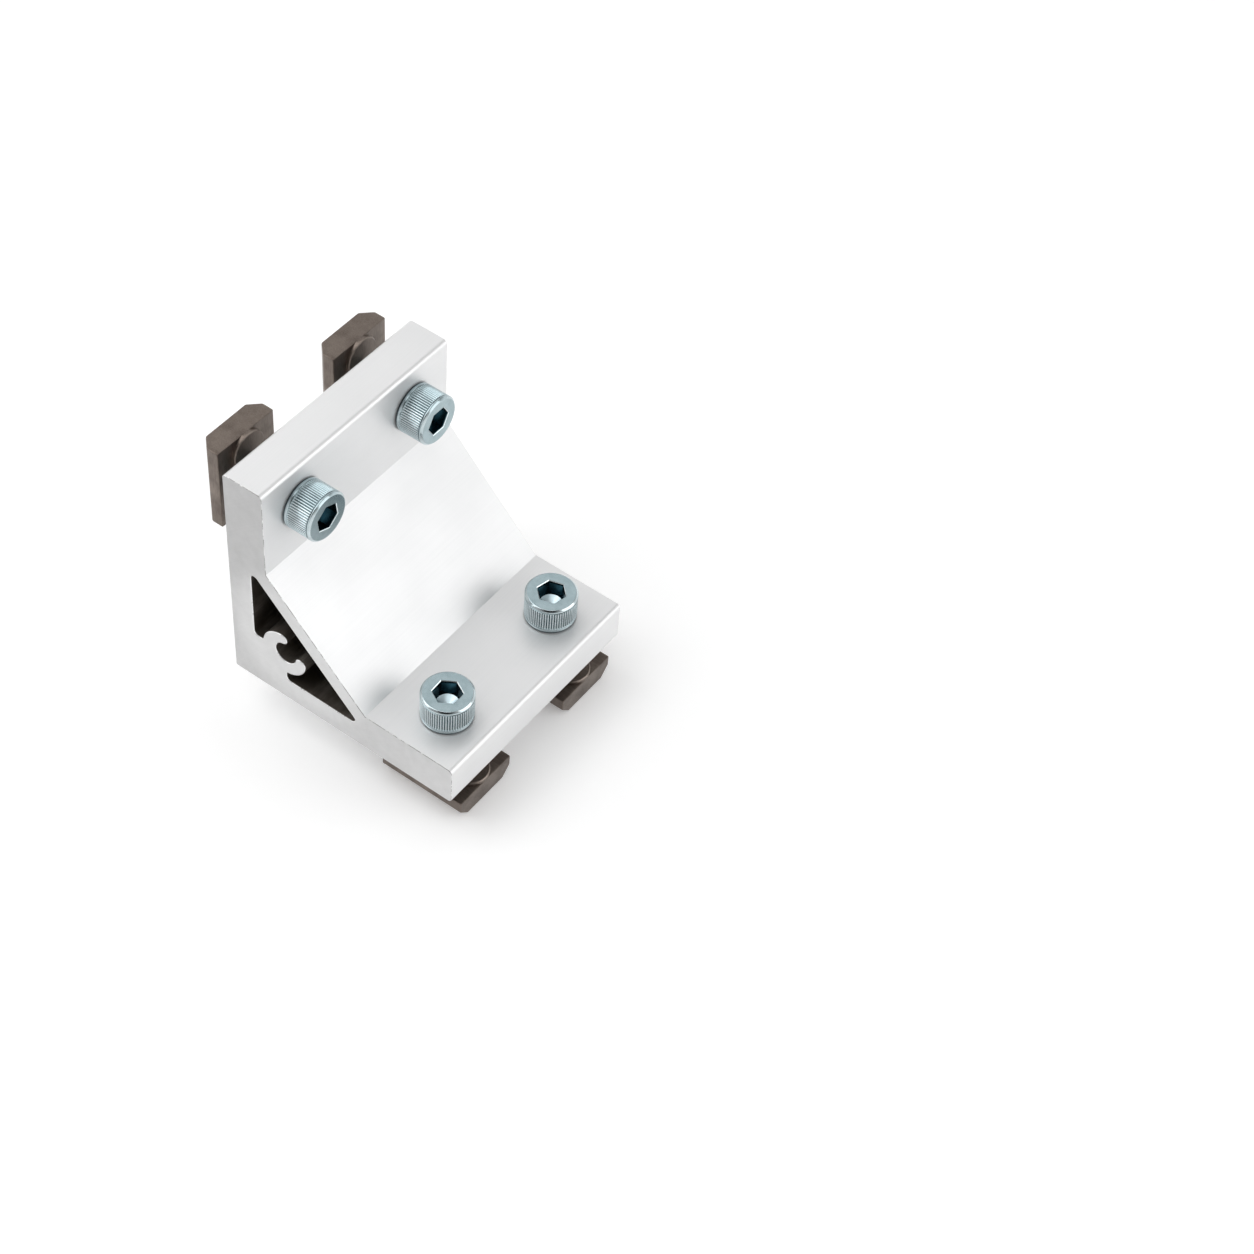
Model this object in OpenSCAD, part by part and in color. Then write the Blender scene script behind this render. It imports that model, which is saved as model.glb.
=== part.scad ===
// Corner bracket for slotted framing, with its four socket screws and four slot nuts.
// The bracket is one length of hollow extrusion: two legs at a right angle, a sloping web
// between them, and an open screw channel in the corner of the hollow for an end cap.
// Origin: where the two mounting faces meet, at the middle of the width.
// The foot leg runs along +X, the upright leg along +Z, and the extrusion along Y.

/* [Legs and web] */
// Length of each leg from the outer corner
leg_len = 66.5; // [63:0.5:90]
// Width of the bracket, along the extrusion
width = 66; // [62:1:90]
// Thickness of each leg under the screw heads
leg_t = 11.5; // [10:0.5:14]
// Distance from the outer corner to where the web meets a leg's inner face
web_from = 40.5; // [38:0.5:43]
// Thickness of the sloping web
web_t = 4.5; // [3:0.25:6]
// Radius along the inner edge of each leg's tip
tip_inner_r = 1.2; // [0.4:0.1:3]
// Radius along the outer edge of each leg's tip
tip_outer_r = 1; // [0.4:0.1:3]
// Radius along the outer corner, where the mounting faces meet
corner_r = 0.5; // [0.2:0.1:2]

/* [Hollow] */
// Wall between the hollow and each mounting face
hollow_wall = 6.7; // [5:0.1:7.5]
// Radius in the two sharp ends of the hollow
hollow_end_r = 1.1; // [0.6:0.1:1.4]
// Radius where a pocket beside the screw channel meets the wall
pocket_r = 1.4; // [0.6:0.1:1.6]
// Radius where such a pocket meets the hook beside it
notch_r = 0.5; // [0.1:0.1:0.6]

/* [Screw channel] */
// Distance of the channel's axis from each mounting face
port_at = 16.4; // [15.6:0.1:16.8]
// Radius of the channel that an end cap's screw bites into
port_r = 3.05; // [2.5:0.05:3.4]
// Radius of the hooks' outer round
hook_r = 6.5; // [6:0.1:6.8]
// How far the hooks' outer round is set back from the channel's axis, along each leg
hook_set_back = 0.5; // [0.2:0.1:0.8]
// Half of the angle that the channel is open to, towards the web
port_half_gap = 57; // [48:1:62]

/* [Screws] */
// Distance from a leg's tip to the axis of its screws
hole_to_tip = 11.75; // [9:0.25:13]
// Distance between the two screws of a leg, which is the distance between the slots
slot_pitch = 40; // [34:1:44]
// Diameter of the clearance holes through the legs
hole_d = 9; // [8.4:0.1:10]
// Diameter of the screws' shanks
screw_d = 8; // [6:0.5:8]
// Length of the screws under the head
screw_len = 20; // [18:1:25]
// Diameter of the screws' heads
head_d = 13; // [11.5:0.5:14]
// Height of the screws' heads
head_h = 8; // [6.5:0.5:9]
// Bevel round the top of a head
head_top_bevel = 0.5; // [0.2:0.1:0.8]
// Bevel round the base of a head
head_base_bevel = 0.3; // [0.1:0.1:0.6]
// Bevel at the end of a shank
shank_bevel = 1; // [0.4:0.1:1.5]
// Width across the flats of the hex socket
socket_flats = 6; // [5:0.5:7]
// Depth of the hex socket's flats
socket_depth = 4.2; // [3:0.1:5]
// Diameter of the countersink at the mouth of the hex socket
socket_mouth_d = 7.1; // [7:0.1:8.4]

/* [Slot nuts] */
// Thickness of the slot lips, which the nuts pull against the bracket
lip_t = 4.5; // [3.5:0.25:6]
// Length of a nut along its slot
nut_len = 24; // [18:1:26]
// Width of a nut across its slot
nut_w = 19; // [16:0.5:20]
// Thickness of a nut below its shoulders
nut_t = 6; // [5:0.5:8]
// Bevel along the nut's two lower edges
nut_bevel = 2.8; // [1:0.2:3.4]
// Width of the neck that rises between the slot lips
neck_w = 10; // [9:0.2:11.4]
// Height of that neck over the nut's shoulders
neck_h = 1; // [0.4:0.1:1.4]
// Clearance round a shank in its nut, which stands in for the depth of the thread
thread_gap = 0.05; // [0.05:0.05:0.2]

/* [Hidden] */

// Spare length by which a cut passes the surface that it opens
cut = 1;
// Sides of a true circle
$fn = 96;
// Angle of the cone that a drill leaves at the bottom of a socket, to its axis
drill_half_angle = 60;
// How far the drilled bottom stays inside the flats of a socket
drill_inset = 0.15;

// How far the hooks' ends swell past the channel and past the outer round, so that the
// three rounds cross and don't only touch
end_swell = 0.01;

// Inner face of the web: x + z has this value all along it
web_inner_sum = leg_t + web_from - web_t * sqrt(2);
// Distance of a leg's screw axes from the outer corner
hole_at = leg_len - hole_to_tip;
// Places of the near and the far slot along Y
near_y = -slot_pitch / 2;
far_y = slot_pitch / 2;
// Turns of the hex sockets about their screws, as each screw came to rest
foot_near_turn = 33;
foot_far_turn = 17;
upright_near_turn = 8;
upright_far_turn = 30;

// Directions, seen from the channel's axis, in which the two hooks end
hook_ends = [45 - port_half_gap, 45 + port_half_gap];

// Radius of the full round at the end of a hook, which touches the channel and the
// hooks' outer round, for a hook that ends in this direction
function hook_end_r(dir) =
    let (along = hook_set_back * (cos(dir) + sin(dir)))
    (hook_r ^ 2 - port_r ^ 2 - 2 * hook_set_back ^ 2 - 2 * port_r * along)
    / (2 * (along + port_r + hook_r));

// What a round takes off a square corner whose point is at the origin and which lies
// in the first quadrant
module corner_nib(r) {
    difference() {
        translate([-cut, -cut]) square(r + cut);
        translate([r, r]) circle(r);
        polygon([[r, -cut], [r + cut, -cut], [r + cut, r]]);
    }
}

// What a round adds in a corner of a hollow, where it stops at the walls
module inner_fillet(r) {
    difference() {
        square(r);
        translate([r, r]) circle(r);
    }
}

// Draws a shape, and the same shape mirrored into the other leg
module both_legs() {
    children();
    mirror([1, -1]) children();
}

// Outline of the two legs and the web, with the edges rounded
module outline() {
    difference() {
        polygon([[0, 0], [leg_len, 0], [leg_len, leg_t], [web_from, leg_t],
                 [leg_t, web_from], [leg_t, leg_len], [0, leg_len]]);
        corner_nib(corner_r);
        both_legs() {
            translate([leg_len, 0]) mirror([1, 0]) corner_nib(tip_outer_r);
            translate([leg_len, leg_t]) rotate(180) corner_nib(tip_inner_r);
        }
    }
}

// Three-cornered hollow behind the web, with rounds in its two sharp ends
module triangle() {
    end_x = web_inner_sum - hollow_wall - hollow_end_r * (1 + sqrt(2));
    end_z = hollow_wall + hollow_end_r;
    web_step = hollow_end_r / sqrt(2);
    polygon([[hollow_wall, hollow_wall], [end_x, hollow_wall],
             [end_x + web_step, end_z + web_step], [end_z + web_step, end_x + web_step],
             [hollow_wall, end_x]]);
    both_legs() translate([end_x, end_z]) circle(hollow_end_r);
}

// Gap in the ring of the hooks, from the channel's axis outwards
module hook_gap() {
    reach = 2 * hook_r;
    polygon([[0, 0], for (dir = [hook_ends[0], 45, hook_ends[1]])
             reach * [cos(dir), sin(dir)]]);
}

// Round between the floor of the foot leg's pocket and the underside of its hook: the
// round touches the floor, and the hooks' outer round from outside
module notch_fillet(r) {
    hook_at = port_at - hook_set_back;
    mid_x = port_at + r;
    mid_z = hook_at - sqrt((hook_r + r) ^ 2 - (mid_x - hook_at) ^ 2);
    share = hook_r / (hook_r + r);
    touch_x = hook_at + (mid_x - hook_at) * share;
    touch_z = hook_at + (mid_z - hook_at) * share;
    difference() {
        polygon([[port_at, mid_z], [mid_x, mid_z], [touch_x, touch_z],
                 [touch_x, touch_z + r], [port_at, touch_z + r]]);
        translate([mid_x, mid_z]) circle(r);
    }
}

// Solid corner of the hollow, with the screw channel and the two hooks that hold it
module channel_block() {
    difference() {
        union() {
            square(port_at);
            translate([1, 1] * (port_at - hook_set_back)) circle(hook_r);
        }
        translate([port_at, port_at]) {
            circle(port_r);
            hook_gap();
        }
    }
    translate([port_at, port_at])
        for (dir = hook_ends)
            rotate(dir) translate([port_r + hook_end_r(dir), 0])
                circle(hook_end_r(dir) + end_swell);
    both_legs() {
        translate([port_at, hollow_wall]) inner_fillet(pocket_r);
        notch_fillet(notch_r);
    }
}

// Section of the extrusion, the same along its whole width
module section() {
    difference() {
        outline();
        difference() {
            triangle();
            channel_block();
        }
    }
}

// Places a foot screw or nut, modelled about its own axis with +Z outwards
module on_foot(y) {
    translate([hole_at, y, 0]) children();
}

// Places an upright screw or nut in the same way
module on_upright(y) {
    translate([0, y, hole_at]) rotate([0, 90, 0]) children();
}

// Clearance hole through a leg
module leg_hole() {
    translate([0, 0, -cut]) cylinder(d = hole_d, h = leg_t + 2 * cut);
}

// Hex socket, cut down from the top of a head: flats, countersunk mouth and drilled bottom
module socket(turn) {
    mouth_r = socket_mouth_d / 2;
    drill_r = socket_flats / 2 - drill_inset;
    drill_tip_h = drill_r / tan(drill_half_angle);
    rotate(turn) translate([0, 0, -socket_depth])
        cylinder(d = socket_flats / cos(30), h = socket_depth + cut, $fn = 6);
    // The countersink's side stands at 45 degrees, so its depth equals its radius
    translate([0, 0, -mouth_r]) cylinder(r1 = 0, r2 = mouth_r + cut, h = mouth_r + cut);
    translate([0, 0, -socket_depth])
        rotate_extrude()
            polygon([[0, -drill_tip_h], [drill_r, 0], [drill_r, cut], [0, cut]]);
}

// Socket screw, standing on the inner face of a leg
module socket_screw(turn) {
    head_r = head_d / 2;
    shank_r = screw_d / 2;
    translate([0, 0, leg_t]) difference() {
        rotate_extrude()
            polygon([[0, -screw_len], [shank_r - shank_bevel, -screw_len],
                     [shank_r, -screw_len + shank_bevel], [shank_r, 0],
                     [head_r - head_base_bevel, 0], [head_r, head_base_bevel],
                     [head_r, head_h - head_top_bevel], [head_r - head_top_bevel, head_h],
                     [0, head_h]]);
        translate([0, 0, head_h]) socket(turn);
    }
}

// Slot nut under a mounting face: a bevelled body that hooks behind the slot lips, and a
// neck with round ends that rises between them
module slot_nut() {
    half_w = nut_w / 2;
    neck_run = (nut_len - neck_w) / 2;
    translate([0, 0, -lip_t]) difference() {
        union() {
            rotate([90, 0, 90]) linear_extrude(nut_len, center = true)
                polygon([[-half_w, 0], [-half_w, nut_bevel - nut_t],
                         [nut_bevel - half_w, -nut_t], [half_w - nut_bevel, -nut_t],
                         [half_w, nut_bevel - nut_t], [half_w, 0]]);
            linear_extrude(neck_h) {
                square([2 * neck_run, neck_w], center = true);
                for (side = [-1, 1])
                    translate([side * neck_run, 0]) circle(d = neck_w);
            }
        }
        translate([0, 0, -nut_t - cut])
            cylinder(r = screw_d / 2 + thread_gap, h = nut_t + neck_h + 2 * cut);
    }
}

module bracket_extrusion() {
    color([0.85, 0.86, 0.87]) difference() {
        rotate([90, 0, 0]) linear_extrude(width, center = true) section();
        for (y = [near_y, far_y]) {
            on_foot(y) leg_hole();
            on_upright(y) leg_hole();
        }
    }
}

module screw_foot_near() {
    color([0.66, 0.69, 0.72]) on_foot(near_y) socket_screw(foot_near_turn);
}

module screw_foot_far() {
    color([0.66, 0.69, 0.72]) on_foot(far_y) socket_screw(foot_far_turn);
}

module screw_upright_near() {
    color([0.66, 0.69, 0.72]) on_upright(near_y) socket_screw(upright_near_turn);
}

module screw_upright_far() {
    color([0.66, 0.69, 0.72]) on_upright(far_y) socket_screw(upright_far_turn);
}

module slot_nut_foot_near() {
    color([0.55, 0.53, 0.5]) on_foot(near_y) slot_nut();
}

module slot_nut_foot_far() {
    color([0.55, 0.53, 0.5]) on_foot(far_y) slot_nut();
}

module slot_nut_upright_near() {
    color([0.55, 0.53, 0.5]) on_upright(near_y) slot_nut();
}

module slot_nut_upright_far() {
    color([0.55, 0.53, 0.5]) on_upright(far_y) slot_nut();
}

bracket_extrusion();
screw_foot_near();
screw_foot_far();
screw_upright_near();
screw_upright_far();
slot_nut_foot_near();
slot_nut_foot_far();
slot_nut_upright_near();
slot_nut_upright_far();
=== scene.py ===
import math
import bmesh
import bpy
from mathutils import Matrix, Quaternion, Vector


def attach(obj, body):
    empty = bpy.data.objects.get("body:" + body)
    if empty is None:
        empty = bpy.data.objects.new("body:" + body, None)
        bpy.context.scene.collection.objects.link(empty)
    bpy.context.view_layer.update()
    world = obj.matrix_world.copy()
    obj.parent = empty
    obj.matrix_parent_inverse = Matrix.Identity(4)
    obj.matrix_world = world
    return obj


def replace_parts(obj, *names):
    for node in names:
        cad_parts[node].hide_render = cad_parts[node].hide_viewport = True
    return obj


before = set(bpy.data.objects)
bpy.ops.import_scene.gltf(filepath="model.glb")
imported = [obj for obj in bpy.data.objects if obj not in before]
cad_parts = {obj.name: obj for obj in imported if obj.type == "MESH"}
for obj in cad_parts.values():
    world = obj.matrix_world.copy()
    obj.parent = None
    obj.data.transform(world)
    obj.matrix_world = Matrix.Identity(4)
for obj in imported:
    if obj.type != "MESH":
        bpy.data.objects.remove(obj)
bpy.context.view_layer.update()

# Sizes are in millimetres up to the meshes, which are in metres
MM = 0.001
# Points nearer than this are one point, in a section and on a cut face
SAME_POINT = 1e-4

# Extrusion: two legs, a sloping web and the hollow behind it
LEG_LEN = 66.5
LEG_T = 11.5
WIDTH = 66.0
WEB_FROM = 40.5
WEB_T = 4.5
CORNER_R = 0.5
TIP_OUTER_R = 1.0
TIP_INNER_R = 1.2
HOLLOW_WALL = 6.7
HOLLOW_END_R = 1.1
POCKET_R = 1.4
NOTCH_R = 0.5
PORT_AT = 16.4
PORT_R = 3.05
HOOK_R = 6.5
HOOK_SET_BACK = 0.5
HOOK_END_DIR = -12.0
# Sum of x and z along the inside of the web
WEB_INNER_SUM = LEG_T + WEB_FROM - WEB_T * math.sqrt(2)
# Broken edges of the saw cut, on the outside and round the hollow
OUTER_RIM = 0.09
HOLLOW_RIM = 0.16
# Middle of the saw blade's fine arcs, and of the thin parts round the channel
SAW_MIDDLE = (150.0, 0.0, -110.0)
THIN_PARTS = (PORT_AT + 4, 0.0, PORT_AT + 4)

# Holes through the legs
HOLE_AT = 54.75
SLOT_PITCH = 40.0
HOLE_D = 9.0
HOLE_RIM = 0.25

# Socket screws, with their axes along Z and the mounting face at zero
HEAD_R = 6.5
HEAD_H = 8.0
HEAD_BASE_BEVEL = 0.35
TOP_BEVEL = 0.42
# Small rounding of the head's turned edges
SOFT = 0.05
SOFT_IN = 0.02
# Painted shade round the foot of the head, where it meets the leg, up to this height and fading over
# a little
PAINTED_SHADE_TO = 0.62
PAINTED_SHADE_FADE = 0.12
KNURL_FROM = 1.35
KNURL_TO = 6.95
KNURL_TEETH = 66
KNURL_DEPTH = 0.22
KNURL_RUN_OUT = 0.55
KNURL_RUN_OUT_STEPS = 6
POINTS_PER_TOOTH = 8
# Over 1 makes the ribs wider than the grooves
KNURL_CREST = 1.5
# Fine turned lines below and above the knurl
LOW_LINE_DEPTH = 0.08
LOW_LINE_WIDTH = 0.25
LOW_LINE_RISE = 0.1
HIGH_LINE_DEPTH = 0.13
HIGH_LINE_WIDTH = 0.3
HIGH_LINE_STEP = 0.08
SOCKET_FLATS = 6.0
SOCKET_DEPTH = 4.2
SOCKET_BEVEL = 0.38
THROAT_FLARE = 0.28
THROAT_DEPTH = 0.7
DRILL_R = 2.85
DRILL_TIP_R = 0.02
DRILL_HALF_ANGLE = math.radians(60)
SCREW_LEN = 20.0
POINT_BEVEL = 1.0
THREAD_R = 4.0
THREAD_PITCH = 1.25
THREAD_DEPTH = 0.7
THREAD_GAP = 0.05
THREAD_SIDES = 60
THREAD_LEVELS = 10
# Shares of half a pitch that the flat crest and the flank take up
THREAD_CREST = 0.12
THREAD_FLANK = 0.68
# How far the shank reaches into the head, so that the two become one
SHANK_OVERLAP = 0.6

# Slot nuts, in the same place and direction as the screws
LIP_T = 4.5
NUT_LEN = 24.0
NUT_W = 19.0
NUT_T = 6.0
NUT_BEVEL = 2.8
NUT_EDGE = 0.3
NECK_W = 10.0
NECK_H = 1.0
NECK_EDGE = 0.25

# How far a cutter reaches past what it cuts, and the neck into the nut's body
PAST = 1.0
# Sides of what is drilled
ROUND_SIDES = 72

# The floor lies a hair below the nuts, on which the part stands
FLOOR_GAP = 0.02
FLOOR_Z = -(LIP_T + NUT_T) - FLOOR_GAP
# Light that the floor seems to give, near the part and far from it
FLOOR_LIFT = 0.2
FAR_FLOOR_LIFT = 0.62
NEAR = 300.0
FAR = 2500.0
# Strength of the world overhead and behind the camera, where 1 is the sweep at the sides
OVERHEAD = 0.38
DARK_SIDE = 0.04
# Heights of a direction between which the sweep dims, and cosines of its angle to the
# camera's direction between which the dark side sets in
SWEEP_FROM = 0.1
SWEEP_TO = 0.5
DARK_FROM = 0.86
DARK_TO = 0.965
# What the lamps point at, in metres
LIT_MIDDLE = Vector((0.025, 0, 0.02))

# Camera, as fitted to the photo
CAMERA_AT = (0.28740, -0.32048, 0.48944)
CAMERA_AZIMUTH = math.radians(31.717)
CAMERA_ELEVATION = math.radians(49.373)
CAMERA_ROLL = math.radians(5.761)
CAMERA_LENS = 74.480
CAMERA_SENSOR = 36


# Points and loops of a section

def arc(centre, radius, start, end, step=7.0):
    """Points of an arc from one angle to another, in degrees."""
    count = max(3, math.ceil(abs(end - start) / step))
    angles = [math.radians(start + (end - start) * i / count) for i in range(count + 1)]
    return [(centre[0] + radius * math.cos(a), centre[1] + radius * math.sin(a)) for a in angles]


def both_legs(half):
    """The half of a loop that lies by the foot leg, and its mirror image in the other leg."""
    return clean(half + [(z, x) for x, z in reversed(half)])


def clean(loop):
    """A closed loop without points that lie on top of the one before."""
    return [p for i, p in enumerate(loop) if math.dist(p, loop[i - 1]) > SAME_POINT]


def outline():
    """Outside of the section, from the corner to the web, in both legs."""
    return both_legs(
        arc((CORNER_R, CORNER_R), CORNER_R, 225, 270)
        + arc((LEG_LEN - TIP_OUTER_R, TIP_OUTER_R), TIP_OUTER_R, -90, 0)
        + arc((LEG_LEN - TIP_INNER_R, LEG_T - TIP_INNER_R), TIP_INNER_R, 0, 90)
        + [(WEB_FROM, LEG_T)]
    )


def hollow():
    """The hollow from the middle of the web to the middle of the screw channel, and back."""
    end_x = WEB_INNER_SUM - HOLLOW_WALL - HOLLOW_END_R * (1 + math.sqrt(2))
    end_z = HOLLOW_WALL + HOLLOW_END_R
    hook_at = PORT_AT - HOOK_SET_BACK
    notch_x = PORT_AT + NOTCH_R
    notch_z = hook_at - math.sqrt((HOOK_R + NOTCH_R) ** 2 - (notch_x - hook_at) ** 2)
    notch_dir = math.degrees(math.atan2(notch_z - hook_at, notch_x - hook_at))
    end_dir = math.radians(HOOK_END_DIR)
    along = HOOK_SET_BACK * (math.cos(end_dir) + math.sin(end_dir))
    end_r = (HOOK_R**2 - PORT_R**2 - 2 * HOOK_SET_BACK**2 - 2 * PORT_R * along) / (
        2 * (along + PORT_R + HOOK_R)
    )
    hook_end_x = PORT_AT + (PORT_R + end_r) * math.cos(end_dir)
    hook_end_z = PORT_AT + (PORT_R + end_r) * math.sin(end_dir)
    touch_dir = math.degrees(math.atan2(hook_end_z - hook_at, hook_end_x - hook_at))
    return both_legs(
        [(WEB_INNER_SUM / 2, WEB_INNER_SUM / 2)]
        + arc((end_x, end_z), HOLLOW_END_R, 45, -90)
        + arc((PORT_AT + POCKET_R, HOLLOW_WALL + POCKET_R), POCKET_R, -90, -180)
        + arc((notch_x, notch_z), NOTCH_R, 180, 180 + notch_dir)
        + arc((hook_at, hook_at), HOOK_R, notch_dir, touch_dir, step=4)
        + arc((hook_end_x, hook_end_z), end_r, touch_dir, 180 + HOOK_END_DIR)
        + arc((PORT_AT, PORT_AT), PORT_R, HOOK_END_DIR, -135, step=5)
    )


def moved_in(loop, distance):
    """A loop moved by a distance to the left of its direction."""
    moved = []
    for i, p in enumerate(loop):
        before = Vector(p) - Vector(loop[i - 1])
        after = Vector(loop[(i + 1) % len(loop)]) - Vector(p)
        left_before = Vector((-before.y, before.x)).normalized()
        left_after = Vector((-after.y, after.x)).normalized()
        bisector = (left_before + left_after).normalized()
        moved.append(tuple(Vector(p) + bisector * distance / bisector.dot(left_after)))
    return moved


# Meshes

def mesh_object(name, bm, materials=()):
    mesh = bpy.data.meshes.new(name)
    bm.to_mesh(mesh)
    bm.free()
    for m in materials:
        mesh.materials.append(m)
    obj = bpy.data.objects.new(name, mesh)
    bpy.context.collection.objects.link(obj)
    return obj


def ring(bm, points):
    return [bm.verts.new(Vector(p) * MM) for p in points]


def skin(bm, rings, material=0):
    """Quads between each closed ring of points and the next."""
    for low, high in zip(rings, rings[1:]):
        for i in range(len(low)):
            j = (i + 1) % len(low)
            face = bm.faces.new((low[i], low[j], high[j], high[i]))
            face.material_index = material


def cap(bm, rings, first=0, last=0):
    """Closes both ends, each with its material, and turns all faces outwards."""
    bm.faces.new(rings[0][::-1]).material_index = first
    bm.faces.new(rings[-1]).material_index = last
    bmesh.ops.recalc_face_normals(bm, faces=bm.faces)


def cut(obj, cutter, operation="DIFFERENCE"):
    """Applies a Boolean with another object, which then goes away."""
    mod = obj.modifiers.new("cut", "BOOLEAN")
    mod.operation = operation
    mod.solver = "EXACT"
    mod.object = cutter
    bpy.context.view_layer.update()
    result = bpy.data.meshes.new_from_object(
        obj.evaluated_get(bpy.context.evaluated_depsgraph_get()))
    obj.modifiers.clear()
    obj.data = result
    bpy.data.objects.remove(cutter)


def smooth(obj, sharp_angle=32):
    """Smooth shading, with sharp edges over an angle and where two materials meet."""
    mesh = obj.data
    mesh.shade_smooth()
    mesh.set_sharp_from_angle(angle=math.radians(sharp_angle))
    bm = bmesh.new()
    bm.from_mesh(mesh)
    for edge in bm.edges:
        if len({face.material_index for face in edge.link_faces}) > 1:
            edge.smooth = False
    bm.to_mesh(mesh)
    bm.free()
    mod = obj.modifiers.new("flats stay flat", "WEIGHTED_NORMAL")
    mod.keep_sharp = True


def around(count):
    return [2 * math.pi * i / count for i in range(count)]


def level_ring(r, z, sides):
    """Points of a level polygon round the Z axis."""
    return [(r * math.cos(a), r * math.sin(a), z) for a in around(sides)]


def cone_cutter(bottom, top, r_bottom, r_top, place, material):
    """Truncated cone along Z, put in place by a matrix in millimetres."""
    bm = bmesh.new()
    rings = []
    for z, r in ((bottom, r_bottom), (top, r_top)):
        rings.append(ring(bm, [place @ Vector(p) for p in level_ring(r, z, ROUND_SIDES)]))
    skin(bm, rings, material)
    cap(bm, rings, material, material)
    return mesh_object("cutter", bm)


def on_foot(y):
    """Place of a foot screw or nut, in millimetres."""
    return Matrix.Translation((HOLE_AT, y, 0))


def on_upright(y):
    return Matrix.Translation((0, y, HOLE_AT)) @ Matrix.Rotation(math.radians(90), 4, "Y")


PLACES = {
    "foot_near": on_foot(-SLOT_PITCH / 2),
    "foot_far": on_foot(SLOT_PITCH / 2),
    "upright_near": on_upright(-SLOT_PITCH / 2),
    "upright_far": on_upright(SLOT_PITCH / 2),
}
# How far each screw is turned about its axis, in degrees, as its socket shows
TURNS = {"foot_near": 33, "foot_far": 17, "upright_near": 8, "upright_far": 30}


# Materials

class Nodes:
    """Builds the node tree of a material, or of the world, with short calls."""

    def __init__(self, owner):
        owner.use_nodes = True
        self.owner = owner
        self.tree = owner.node_tree
        self.shader = self.tree.nodes.get("Principled BSDF")

    def add(self, kind, inputs=None, **settings):
        node = self.tree.nodes.new(kind)
        for key, value in settings.items():
            setattr(node, key, value)
        for key, value in (inputs or {}).items():
            self.put(node.inputs[key], value)
        return node

    def put(self, socket, value):
        if isinstance(value, bpy.types.NodeSocket):
            self.tree.links.new(value, socket)
        else:
            socket.default_value = value

    def set(self, **inputs):
        names = {"color": "Base Color", "metallic": "Metallic", "roughness": "Roughness",
                 "normal": "Normal", "specular": "Specular IOR Level"}
        for key, value in inputs.items():
            self.put(self.shader.inputs[names[key]], value)

    def place(self, stretch=(1, 1, 1)):
        """Place in millimetres on the piece at rest, stretched along its axes."""
        coords = self.add("ShaderNodeTexCoord")
        scale = [s / MM for s in stretch]
        mapping = self.add("ShaderNodeMapping", {"Vector": coords.outputs["Object"], "Scale": scale})
        return mapping.outputs["Vector"]

    def noise(self, vector, scale, detail=3.0, roughness=0.55):
        node = self.add("ShaderNodeTexNoise", {"Vector": vector, "Scale": scale, "Detail": detail,
                                               "Roughness": roughness})
        return node.outputs["Fac"]

    def between(self, value, low, high, to_low, to_high, kind="LINEAR"):
        node = self.add("ShaderNodeMapRange", {"Value": value, "From Min": low, "From Max": high,
                                               "To Min": to_low, "To Max": to_high},
                        interpolation_type=kind)
        return node.outputs["Result"]

    def mix(self, factor, a, b):
        node = self.add("ShaderNodeMix", data_type="RGBA")
        self.put(node.inputs["Factor"], factor)
        # The node's colour sockets come after those for numbers and vectors
        self.put(node.inputs[6], a)
        self.put(node.inputs[7], b)
        return node.outputs[2]

    def math(self, operation, a, b):
        node = self.add("ShaderNodeMath", operation=operation)
        self.put(node.inputs[0], a)
        self.put(node.inputs[1], b)
        return node.outputs[0]

    def measure(self, operation, a, b=(0, 0, 0)):
        """Number that a vector operation gives, such as a distance or a length."""
        node = self.add("ShaderNodeVectorMath", operation=operation)
        self.put(node.inputs[0], a)
        self.put(node.inputs[1], b)
        return node.outputs["Value"]

    def part(self, vector, axis):
        return self.add("ShaderNodeSeparateXYZ", {"Vector": vector}).outputs[axis]

    def vector(self, **parts):
        return self.add("ShaderNodeCombineXYZ", parts).outputs["Vector"]

    def attribute(self, name):
        return self.add("ShaderNodeAttribute", attribute_name=name).outputs["Fac"]

    def bump(self, height, strength, distance, normal=None):
        inputs = {"Height": height, "Strength": strength, "Distance": distance * MM}
        if normal is not None:
            inputs["Normal"] = normal
        return self.add("ShaderNodeBump", inputs).outputs["Normal"]


def grey(value, warm=0.0):
    return (value * (1 + warm), value, value * (1 - warm), 1)


def extruded_aluminium():
    n = Nodes(bpy.data.materials.new("extruded aluminium"))
    streaks = n.noise(n.place((1, 0.012, 1)), 2.6, 4, 0.6)
    clouds = n.noise(n.place(), 0.07, 2, 0.5)
    grain = n.noise(n.place(), 7.0, 2, 0.7)
    tone = n.math("ADD", n.between(streaks, 0.3, 0.7, -0.5, 0.5),
                  n.between(clouds, 0.3, 0.7, -0.6, 0.6))
    n.set(color=n.mix(n.between(tone, -0.8, 0.8, 0, 1), grey(0.83, -0.004), grey(0.86, -0.002)))
    n.set(metallic=0.7, roughness=n.between(tone, -0.8, 0.8, 0.48, 0.44))
    fine = n.bump(grain, 0.2, 0.012)
    n.set(normal=n.bump(streaks, 0.08, 0.008, fine))
    return n.owner


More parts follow.
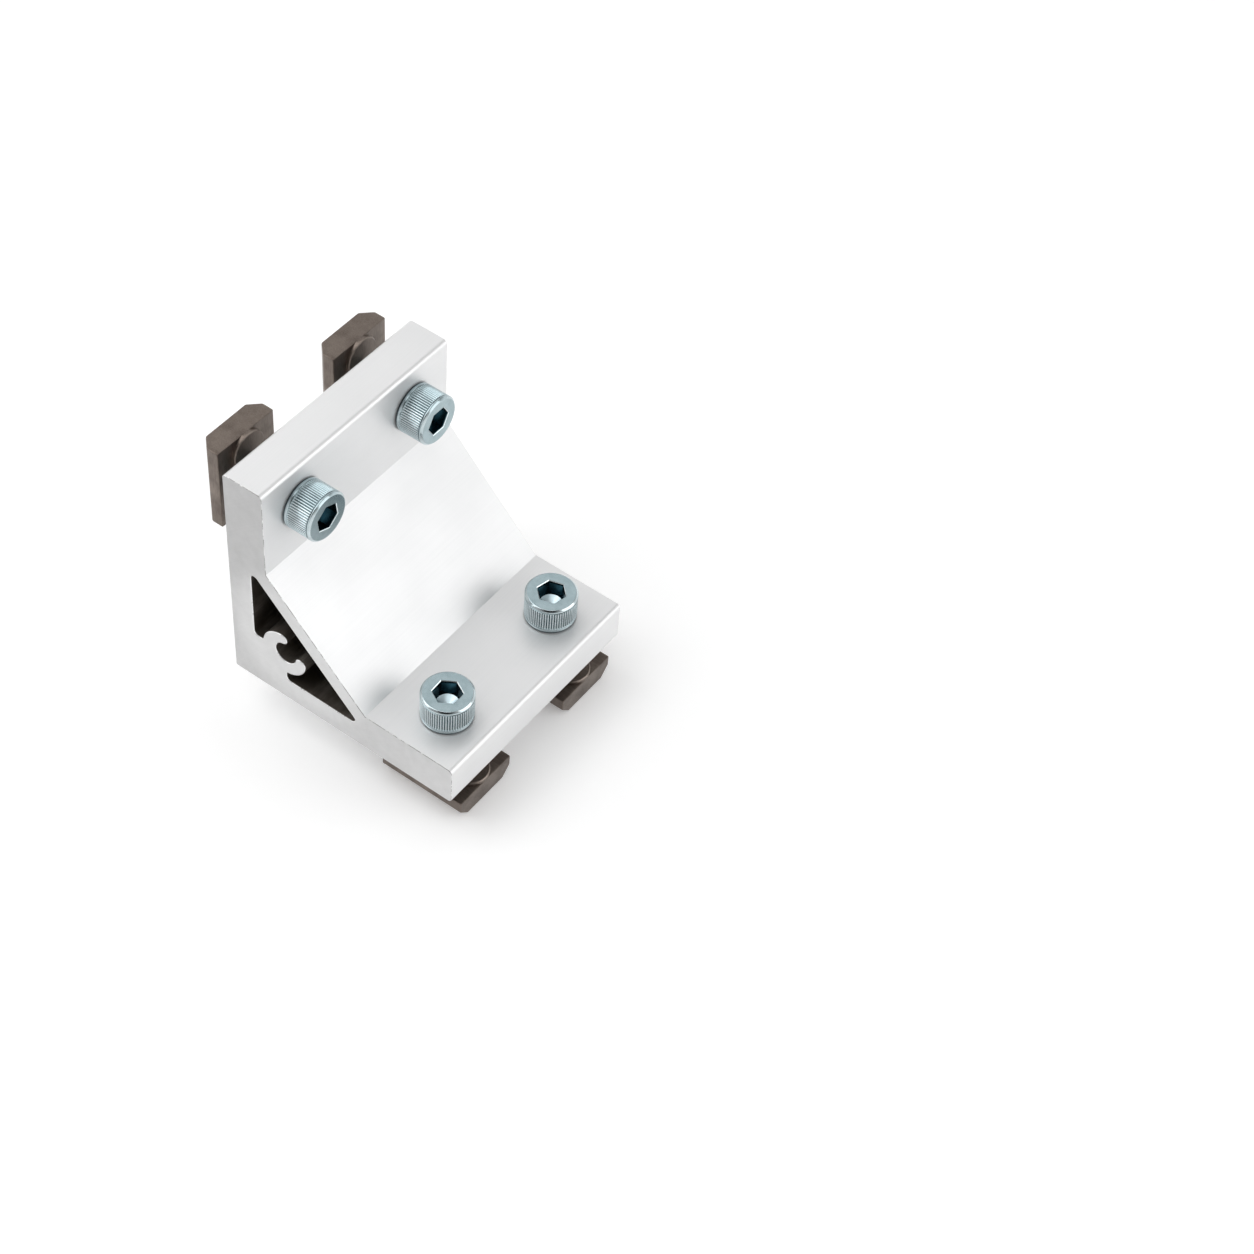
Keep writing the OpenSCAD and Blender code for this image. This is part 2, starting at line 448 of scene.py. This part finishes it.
def sawn_aluminium():
    """Cut faces, with the fine arcs that a saw blade leaves."""
    n = Nodes(bpy.data.materials.new("sawn aluminium"))
    place = n.place()
    marks = n.noise(n.vector(X=n.measure("DISTANCE", place, SAW_MIDDLE)), 2.2, 5, 0.65)
    clouds = n.noise(place, 0.1, 3, 0.5)
    # Painted shade makes the cut face darker towards the upright, and painted light makes the thin
    # parts round the channel brighter
    x = n.part(place, "X")
    z = n.part(place, "Z")
    upright = n.math("SUBTRACT", z, x)
    near_channel = n.measure("DISTANCE", n.vector(X=x, Z=z), THIN_PARTS)
    bright = n.between(near_channel, 14, 25, 0.55, 0.0, "SMOOTHSTEP")
    stains = n.noise(place, 0.4, 4, 0.6)
    mottling = n.math("ADD", n.between(clouds, 0.3, 0.7, -0.09, 0.09),
                      n.between(stains, 0.3, 0.7, -0.07, 0.07))
    tone = n.math("ADD", n.math("ADD", n.between(upright, -55, 45, 0.72, 0.1), bright), mottling)
    n.set(color=n.mix(tone, grey(0.49), grey(0.72)))
    n.set(metallic=0.8, roughness=n.between(marks, 0.3, 0.7, 0.5, 0.38))
    n.set(normal=n.bump(marks, 0.5, 0.02, n.bump(n.noise(place, 6.0), 0.2, 0.012)))
    return n.owner


def rim_aluminium(name, dark_below, bright_above):
    """Broken edge of the cut, bright where it was scraped and dark in its nicks, which are partly
    painted shade along the edge.
    """
    n = Nodes(bpy.data.materials.new(name))
    nicks_and_shade = n.noise(n.place(), 0.45, 5, 0.75)
    bright = n.between(nicks_and_shade, dark_below, bright_above, 0, 1, "SMOOTHSTEP")
    n.set(color=n.mix(bright, grey(0.24, 0.03), grey(0.84)))
    n.set(metallic=1.0, roughness=0.3, normal=n.bump(nicks_and_shade, 0.4, 0.03))
    return n.owner


def hollow_aluminium():
    """Inside of the hollow, painted dark as the shade deep in it, with brownish streaks and patches.
    """
    n = Nodes(bpy.data.materials.new("inside of the hollow"))
    streaks = n.noise(n.place((1, 0.02, 1)), 1.6, 4, 0.6)
    patches = n.noise(n.place((1, 0.5, 1)), 0.16, 3, 0.6)
    tone = n.math("MULTIPLY", n.between(patches, 0.42, 0.66, 0, 1, "SMOOTHSTEP"), streaks)
    n.set(color=n.mix(tone, grey(0.14, 0.16), grey(0.45, 0.09)))
    n.set(metallic=1.0, roughness=0.5, normal=n.bump(streaks, 0.3, 0.02))
    return n.owner


def drilled_aluminium():
    n = Nodes(bpy.data.materials.new("drilled hole"))
    rings = n.noise(n.place((0.1, 0.1, 0.1)), 6.0, 3)
    n.set(color=n.mix(rings, grey(0.55), grey(0.75)), metallic=1.0, roughness=0.35)
    n.set(normal=n.bump(rings, 0.3, 0.02))
    return n.owner


ZINC_LIGHT = (0.405, 0.505, 0.535, 1)
ZINC_MID = (0.34, 0.437, 0.465, 1)
ZINC_HIGHLIGHT = (0.90, 0.96, 0.98, 1)
ZINC_DARK = (0.05, 0.07, 0.08, 1)


def zinc_head():
    """Plating of the heads, with a painted highlight on the knurl's crests and rims and painted
    shade in its grooves and round its foot.
    """
    n = Nodes(bpy.data.materials.new("zinc plated head"))
    groove = n.attribute("groove")
    patches = n.noise(n.place(), 0.35, 4, 0.6)
    specks = n.noise(n.place(), 2.2, 4, 0.7)
    plain = n.mix(n.between(patches, 0.35, 0.65, 0, 1), ZINC_MID, ZINC_LIGHT)
    # Painted shade in the knurl's grooves, patchy with specks
    groove_shade = n.math("MULTIPLY", n.math("POWER", groove, 3.0), n.between(specks, 0.3, 0.6, 0.95, 0.75))
    # The painted highlight on the knurl is patchy, and weakest towards -X, which is on top of the
    # upright's heads
    highlight_spread = n.math("MULTIPLY",
                    n.between(n.part(n.place(), "X"), -6.4, -3.8, 0.2, 1.0, "SMOOTHSTEP"),
                    n.between(patches, 0.35, 0.6, 0.75, 1.0))
    # Painted highlight on the crests of the knurl and along the rims
    crest_highlight = n.math("MULTIPLY", n.attribute("painted_highlight"), n.between(groove, 0.0, 0.3, 1.0, 0.0))
    bright = n.mix(n.math("MULTIPLY", crest_highlight, highlight_spread), plain, ZINC_HIGHLIGHT)
    # Painted shade from the grooves, the head's foot and the turned lines darkens the colour
    dark = n.math("MAXIMUM", groove_shade, n.attribute("painted_shade"))
    n.set(color=n.mix(dark, bright, ZINC_DARK), metallic=1.0)
    n.set(roughness=n.between(patches, 0.35, 0.65, 0.22, 0.16))
    n.set(normal=n.bump(specks, 0.08, 0.012))
    return n.owner


def zinc_flats():
    """Flats of the hex socket, painted near black as shade in the socket."""
    n = Nodes(bpy.data.materials.new("flats of the socket"))
    patches = n.noise(n.place(), 0.5, 4, 0.6)
    n.set(color=n.mix(patches, (0.015, 0.04, 0.06, 1), (0.045, 0.12, 0.145, 1)))
    n.set(metallic=1.0, roughness=0.25, normal=n.bump(patches, 0.2, 0.03))
    return n.owner


def zinc_bottom():
    """Drilled bottom of the socket, with the rings of the drill, coloured near white as a painted
    highlight.
    """
    n = Nodes(bpy.data.materials.new("bottom of the socket"))
    cuts = n.noise(n.vector(Z=n.part(n.place(), "Z")), 3.0, 3)
    n.set(color=n.mix(cuts, (0.66, 0.82, 0.88, 1), (0.78, 0.94, 1.0, 1)))
    n.set(metallic=1.0, roughness=0.36, normal=n.bump(cuts, 0.3, 0.02))
    return n.owner


def zinc_mouth():
    """Bevel round the mouth of the socket, scraped bright by the key."""
    n = Nodes(bpy.data.materials.new("mouth of the socket"))
    scrapes = n.noise(n.place(), 0.9, 4, 0.7)
    bright = n.between(scrapes, 0.3, 0.5, 0, 1, "SMOOTHSTEP")
    n.set(color=n.mix(bright, (0.50, 0.62, 0.66, 1), (0.88, 0.96, 0.98, 1)))
    n.set(metallic=1.0, roughness=0.3, normal=n.bump(scrapes, 0.2, 0.02))
    return n.owner


def zinc_thread():
    n = Nodes(bpy.data.materials.new("zinc plated thread"))
    patches = n.noise(n.place(), 0.6, 4, 0.6)
    n.set(color=n.mix(patches, (0.36, 0.40, 0.41, 1), (0.55, 0.60, 0.61, 1)))
    n.set(metallic=1.0, roughness=0.33, normal=n.bump(patches, 0.2, 0.02))
    return n.owner


def nut_steel():
    """Plain steel with a brownish oil film and a few lighter rubbed places."""
    n = Nodes(bpy.data.materials.new("plain steel"))
    film = n.noise(n.place(), 0.12, 3, 0.5)
    grain = n.noise(n.place((0.15, 1, 1)), 3.5, 3, 0.6)
    tone = n.math("ADD", film, n.between(grain, 0.3, 0.7, -0.08, 0.08))
    rubbed = n.between(tone, 0.3, 0.7, 0, 1)
    n.set(color=n.mix(rubbed, (0.13, 0.105, 0.09, 1), (0.26, 0.22, 0.19, 1)))
    n.set(metallic=1.0, roughness=n.between(tone, 0.3, 0.7, 0.42, 0.32))
    n.set(normal=n.bump(grain, 0.15, 0.012))
    return n.owner


# Extrusion

EXTRUDED, SAWN, OUTER_EDGE, HOLLOW_EDGE, INSIDE, DRILLED = range(6)


def bracket_extrusion():
    bm = bmesh.new()
    outside = (outline(), OUTER_RIM, OUTER_EDGE, EXTRUDED)
    inside = (hollow(), HOLLOW_RIM, HOLLOW_EDGE, INSIDE)
    for loop, rim, rim_material, material in (outside, inside):
        cut_loop = moved_in(loop, rim)
        ends = []
        for side in (-1, 1):
            end_y = side * WIDTH / 2
            face_ring = ring(bm, [(x, end_y, z) for x, z in cut_loop])
            wall_ring = ring(bm, [(x, end_y - side * rim, z) for x, z in loop])
            skin(bm, [face_ring, wall_ring], rim_material)
            ends.append(wall_ring)
        skin(bm, ends, material)
    same = SAME_POINT * MM
    for side in (-1, 1):
        end_y = side * WIDTH / 2 * MM
        edges = [e for e in bm.edges if all(abs(v.co.y - end_y) < same for v in e.verts)]
        made = bmesh.ops.triangle_fill(bm, use_beauty=True, use_dissolve=False, edges=edges)
        for face in made["geom"]:
            if isinstance(face, bmesh.types.BMFace):
                face.material_index = SAWN
    bmesh.ops.recalc_face_normals(bm, faces=bm.faces)
    materials = [extruded_aluminium(), sawn_aluminium(),
                 # The outer edge is mostly dark: painted shade along the cut's outer edges
                 rim_aluminium("outer edge of the cut", 0.46, 0.60),
                 rim_aluminium("edge of the hollow", 0.36, 0.46),
                 hollow_aluminium(), drilled_aluminium()]
    obj = mesh_object("bracket_extrusion_body", bm, materials)
    hole_r = HOLE_D / 2
    for place in PLACES.values():
        cut(obj, cone_cutter(-PAST, LEG_T + PAST, hole_r, hole_r, place, DRILLED))
        cut(obj, cone_cutter(-PAST, HOLE_RIM, hole_r + PAST + HOLE_RIM, hole_r, place, DRILLED))
    smooth(obj)
    return obj


# Screws

HEAD, MOUTH, SOCKET_FLAT, SOCKET_BOTTOM, THREAD = range(5)


def knurl(turn_part):
    """Depth of the knurl round the head, from 0 on a tooth to 1 in a groove."""
    return (0.5 - 0.5 * math.cos(2 * math.pi * turn_part)) ** KNURL_CREST


def knurl_share(z):
    """How deep the grooves are at a height of the head: they run out roundly at both ends."""
    nearest = min(z - KNURL_FROM, KNURL_TO - z)
    if nearest <= 0:
        return 0.0
    return math.sqrt(1 - (1 - min(nearest / KNURL_RUN_OUT, 1)) ** 2)


def head_profile():
    """Radius, height, painted shade and painted highlight of the head's outside, from its base to
    the top's flat.
    """
    # The base starts inside the shank
    hidden_r = THREAD_R - 0.3
    bevel = HEAD_BASE_BEVEL
    # Painted shade round the foot, where the head meets the leg, and in the fine turned line under
    # the knurl; a painted highlight on the plain ring between them
    low = [(hidden_r, 0, 0, 0), (HEAD_R - bevel, 0, 1, 0), (HEAD_R - bevel / 2, bevel / 2, 1, 0),
           (HEAD_R, bevel, 1, 0), (HEAD_R, PAINTED_SHADE_TO - PAINTED_SHADE_FADE, 0.85, 0),
           (HEAD_R, PAINTED_SHADE_TO, 0, 0.3), (HEAD_R, KNURL_FROM - LOW_LINE_WIDTH, 0, 0.3),
           (HEAD_R - LOW_LINE_DEPTH, KNURL_FROM - LOW_LINE_RISE, 0.4, 0),
           (HEAD_R, KNURL_FROM, 0, 0)]
    steps = KNURL_RUN_OUT_STEPS
    run_in = [(HEAD_R, KNURL_FROM + KNURL_RUN_OUT * i / steps, 0, 0) for i in range(1, steps + 1)]
    run_out = [(HEAD_R, KNURL_TO - KNURL_RUN_OUT * i / steps, 0, 0) for i in range(steps, -1, -1)]
    line_r = HEAD_R - HIGH_LINE_DEPTH
    step = HIGH_LINE_STEP
    edge = HEAD_H - TOP_BEVEL
    flat_r = HEAD_R - TOP_BEVEL
    # Painted shade in the fine turned line under the rim, and a painted highlight along the rim. The
    # last two rings lie on the flat, so that its shading stays flat
    rim = [(line_r, KNURL_TO + step, 0.75, 0), (line_r, KNURL_TO + 2 * step, 0.75, 0),
           (HEAD_R - SOFT_IN, KNURL_TO + 3 * step, 0, 0.3),
           (HEAD_R, KNURL_TO + HIGH_LINE_WIDTH, 0, 0.3),
           (HEAD_R, edge - SOFT, 0, 0.3), (HEAD_R - SOFT, edge + SOFT_IN, 0, 0.4),
           (flat_r + SOFT_IN, HEAD_H - SOFT, 0, 0.5), (flat_r - SOFT, HEAD_H, 0, 0.3),
           (flat_r - 0.2, HEAD_H, 0, 0), (flat_r - 0.5, HEAD_H, 0, 0)]
    return low + run_in + run_out + rim


def screw_head(materials):
    """Knurled head, before the socket is cut."""
    bm = bmesh.new()
    groove = bm.verts.layers.float.new("groove")
    # Painted highlight and painted shade, kept on the points for the head's material
    painted_highlight = bm.verts.layers.float.new("painted_highlight")
    shade_layer = bm.verts.layers.float.new("painted_shade")
    count = KNURL_TEETH * POINTS_PER_TOOTH
    rings = []
    for r, z, painted_shade, highlight in head_profile():
        share = knurl_share(z) if r == HEAD_R else 0.0
        points = []
        depths = []
        for i, a in enumerate(around(count)):
            depth = share * knurl(i / POINTS_PER_TOOTH)
            radius = r - depth * KNURL_DEPTH
            points.append((radius * math.cos(a), radius * math.sin(a), LEG_T + z))
            depths.append(depth)
        verts = ring(bm, points)
        for v, depth in zip(verts, depths):
            v[groove] = depth
            v[painted_highlight] = max(share, highlight)
            v[shade_layer] = painted_shade
        rings.append(verts)
    skin(bm, rings)
    cap(bm, rings)
    return mesh_object("head", bm, materials)


def socket_cutter():
    """Hex socket, with a flare that keys have rubbed into its flats and a bevelled mouth."""
    top = LEG_T + HEAD_H
    # The flare ends where it is as wide as the bevel of 45 degrees
    meet = (SOCKET_BEVEL - THROAT_FLARE) / (1 - THROAT_FLARE / THROAT_DEPTH)
    levels = [(top - SOCKET_DEPTH, 0), (top - THROAT_DEPTH, 0),
              (top - meet, SOCKET_BEVEL - meet), (top + PAST, SOCKET_BEVEL + PAST)]
    bm = bmesh.new()
    rings = [ring(bm, level_ring(hex_corner(SOCKET_FLATS + 2 * wider), z, 6)) for z, wider in levels]
    skin(bm, rings[:3], SOCKET_FLAT)
    skin(bm, rings[2:], MOUTH)
    cap(bm, rings, SOCKET_FLAT, MOUTH)
    return mesh_object("cutter", bm)


def hex_corner(flats):
    """Distance of a hexagon's corners from its middle."""
    return flats / 2 / math.cos(math.pi / 6)


def drill_cutter():
    """Drilled bottom of the socket."""
    bottom = LEG_T + HEAD_H - SOCKET_DEPTH
    tip_h = DRILL_R / math.tan(DRILL_HALF_ANGLE)
    return cone_cutter(bottom - tip_h, bottom, DRILL_TIP_R, DRILL_R, Matrix(), SOCKET_BOTTOM)


def thread_radius(z, turn_part, gap, end_z=None):
    """Radius of the thread at a height and a part of a turn."""
    at = (z / THREAD_PITCH - turn_part) % 1.0
    from_crest = abs(at - 0.5) * 2
    depth = THREAD_DEPTH * min(max((from_crest - THREAD_CREST) / THREAD_FLANK, 0), 1)
    radius = THREAD_R + gap - depth
    if end_z is not None:
        radius = min(radius, THREAD_R - POINT_BEVEL + (z - end_z))
    return radius


def thread(bottom, top, gap=0.0, pointed=True, material=THREAD):
    """Right-hand thread between two heights, as a closed solid."""
    bm = bmesh.new()
    levels = math.ceil((top - bottom) / THREAD_PITCH * THREAD_LEVELS)
    end_z = bottom if pointed else None
    rings = []
    for level in range(levels + 1):
        z = bottom + (top - bottom) * level / levels
        points = []
        for i, a in enumerate(around(THREAD_SIDES)):
            radius = thread_radius(z, i / THREAD_SIDES, gap, end_z)
            points.append((radius * math.cos(a), radius * math.sin(a), z))
        rings.append(ring(bm, points))
    skin(bm, rings, material)
    cap(bm, rings, material, material)
    return bm


def screws():
    materials = [zinc_head(), zinc_mouth(), zinc_flats(), zinc_bottom(), zinc_thread()]
    head = screw_head(materials)
    for cutter in (socket_cutter(), drill_cutter()):
        cut(head, cutter)
    cut(head, mesh_object("shank", thread(LEG_T - SCREW_LEN, LEG_T + SHANK_OVERLAP)), "UNION")
    return at_places(head, "screw_", sharp_angle=40, turns=TURNS)


def at_places(made, kind, sharp_angle, turns):
    """A smoothed copy of what was made at each of the four places, turned about its axis."""
    copies = {}
    for place_name, place in PLACES.items():
        obj = made.copy()
        obj.data = made.data.copy()
        obj.name = kind + place_name + "_body"
        obj.data.transform(Matrix.Rotation(math.radians(turns.get(place_name, 0)), 4, "Z"))
        bpy.context.collection.objects.link(obj)
        smooth(obj, sharp_angle)
        matrix = place.copy()
        matrix.translation = matrix.translation * MM
        obj.matrix_world = matrix
        copies[kind + place_name] = obj
    bpy.data.objects.remove(made)
    return copies


# Slot nuts

def nut_body(materials):
    half_w = NUT_W / 2
    half_len = NUT_LEN / 2
    profile = [(-half_w, 0), (-half_w, NUT_BEVEL - NUT_T), (NUT_BEVEL - half_w, -NUT_T),
               (half_w - NUT_BEVEL, -NUT_T), (half_w, NUT_BEVEL - NUT_T), (half_w, 0)]
    bm = bmesh.new()
    rings = [ring(bm, [(x, y, z - LIP_T) for y, z in profile]) for x in (-half_len, half_len)]
    skin(bm, rings)
    cap(bm, rings)
    bmesh.ops.bevel(bm, geom=bm.edges[:], offset=NUT_EDGE * MM, segments=2, profile=0.5,
                    affect="EDGES")
    return mesh_object("nut", bm, materials)


def nut_neck():
    """Neck with round ends, which dips a little into the body."""
    run = (NUT_LEN - NECK_W) / 2
    bm = bmesh.new()
    rings = []
    for z, less in ((-PAST, 0), (NECK_H - NECK_EDGE, 0), (NECK_H, NECK_EDGE)):
        r = NECK_W / 2 - less
        loop = arc((run, 0), r, -90, 90, step=5) + arc((-run, 0), r, 90, 270, step=5)
        rings.append(ring(bm, [(x, y, z - LIP_T) for x, y in loop]))
    skin(bm, rings)
    cap(bm, rings)
    return mesh_object("neck", bm)


def slot_nuts():
    nut = nut_body([nut_steel()])
    cut(nut, nut_neck(), "UNION")
    low = -LIP_T - NUT_T - PAST
    high = -LIP_T + NECK_H + PAST
    cut(nut, mesh_object("tap", thread(low, high, THREAD_GAP, pointed=False, material=0)))
    return at_places(nut, "slot_nut_", sharp_angle=35, turns={})


# Studio

def studio_floor():
    bpy.ops.mesh.primitive_plane_add(size=6, location=(0, 0, FLOOR_Z * MM))
    floor = bpy.context.object
    floor.name = "studio_floor"
    n = Nodes(bpy.data.materials.new("studio floor"))
    n.set(color=(0.93, 0.93, 0.93, 1), roughness=0.9, specular=0.0)
    # The lift towards white is only for rays that show the floor, straight or mirrored
    path = n.add("ShaderNodeLightPath")
    mirrored = n.math("MAXIMUM", path.outputs["Is Glossy Ray"], path.outputs["Is Transmission Ray"])
    seen = n.math("MAXIMUM", path.outputs["Is Camera Ray"], mirrored)
    lift = n.between(n.measure("LENGTH", n.place()), NEAR, FAR, FLOOR_LIFT, FAR_FLOOR_LIFT)
    n.put(n.shader.inputs["Emission Color"], (1, 1, 1, 1))
    n.put(n.shader.inputs["Emission Strength"], n.math("MULTIPLY", seen, lift))
    floor.data.materials.append(n.owner)


def softbox(name, towards, distance, size, power):
    """Square lamp in a direction from the middle of the bracket, facing it."""
    lamp = bpy.data.lights.new(name, "AREA")
    lamp.shape = "SQUARE"
    lamp.size = size
    lamp.energy = power
    obj = bpy.data.objects.new(name, lamp)
    bpy.context.collection.objects.link(obj)
    away = Vector(towards).normalized()
    obj.location = LIT_MIDDLE + away * distance
    obj.rotation_mode = "QUATERNION"
    obj.rotation_quaternion = away.to_track_quat("Z", "Y")


def studio_light():
    """White sweep round the part, dimmer overhead and dark behind the camera, and four lamps."""
    n = Nodes(bpy.data.worlds.new("studio"))
    towards = n.add("ShaderNodeTexCoord").outputs["Generated"]
    height = n.part(towards, "Z")
    sweep = n.between(height, SWEEP_FROM, SWEEP_TO, 1.0, OVERHEAD, "SMOOTHSTEP")
    facing = n.measure("DOT_PRODUCT", towards, camera_side())
    dark = n.between(facing, DARK_FROM, DARK_TO, 1.0, DARK_SIDE, "SMOOTHSTEP")
    background = n.tree.nodes["Background"]
    n.put(background.inputs["Color"], (1, 1, 1, 1))
    n.put(background.inputs["Strength"], n.math("MULTIPLY", sweep, dark))
    bpy.context.scene.world = n.owner
    softbox("web", (0.754, 0.26, 0.347), distance=0.8, size=0.66, power=1.85)
    softbox("top", (-0.347, 0.36, 0.754), distance=1.0, size=0.9, power=1.4)
    softbox("key", (-0.6, -0.3, 0.75), distance=1.2, size=1.2, power=7.5)
    softbox("overhead", (0.17, -0.28, 0.95), distance=1.0, size=0.45, power=0.75)


def camera_side():
    """Direction from the part to the camera."""
    flat = math.cos(CAMERA_ELEVATION)
    return Vector((math.sin(CAMERA_AZIMUTH) * flat, -math.cos(CAMERA_AZIMUTH) * flat,
                   math.sin(CAMERA_ELEVATION)))


def photo_camera():
    """Camera at the photo's place, with its small roll about the view."""
    cam = bpy.data.cameras.new("photo camera")
    cam.sensor_width = CAMERA_SENSOR
    cam.lens = CAMERA_LENS
    cam.clip_start = 0.01
    cam.clip_end = 20
    obj = bpy.data.objects.new("photo camera", cam)
    bpy.context.collection.objects.link(obj)
    obj.location = CAMERA_AT
    obj.rotation_mode = "QUATERNION"
    roll = Quaternion((0, 0, 1), CAMERA_ROLL)
    obj.rotation_quaternion = camera_side().to_track_quat("Z", "Y") @ roll
    bpy.context.scene.camera = obj


# The nine pieces, each in its node, and then what is round them

pieces = {"bracket_extrusion": bracket_extrusion()}
pieces.update(screws())
pieces.update(slot_nuts())
for node, piece in pieces.items():
    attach(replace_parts(piece, node), "root")

studio_floor()
studio_light()
photo_camera()
bpy.context.scene.view_settings.view_transform = "Standard"
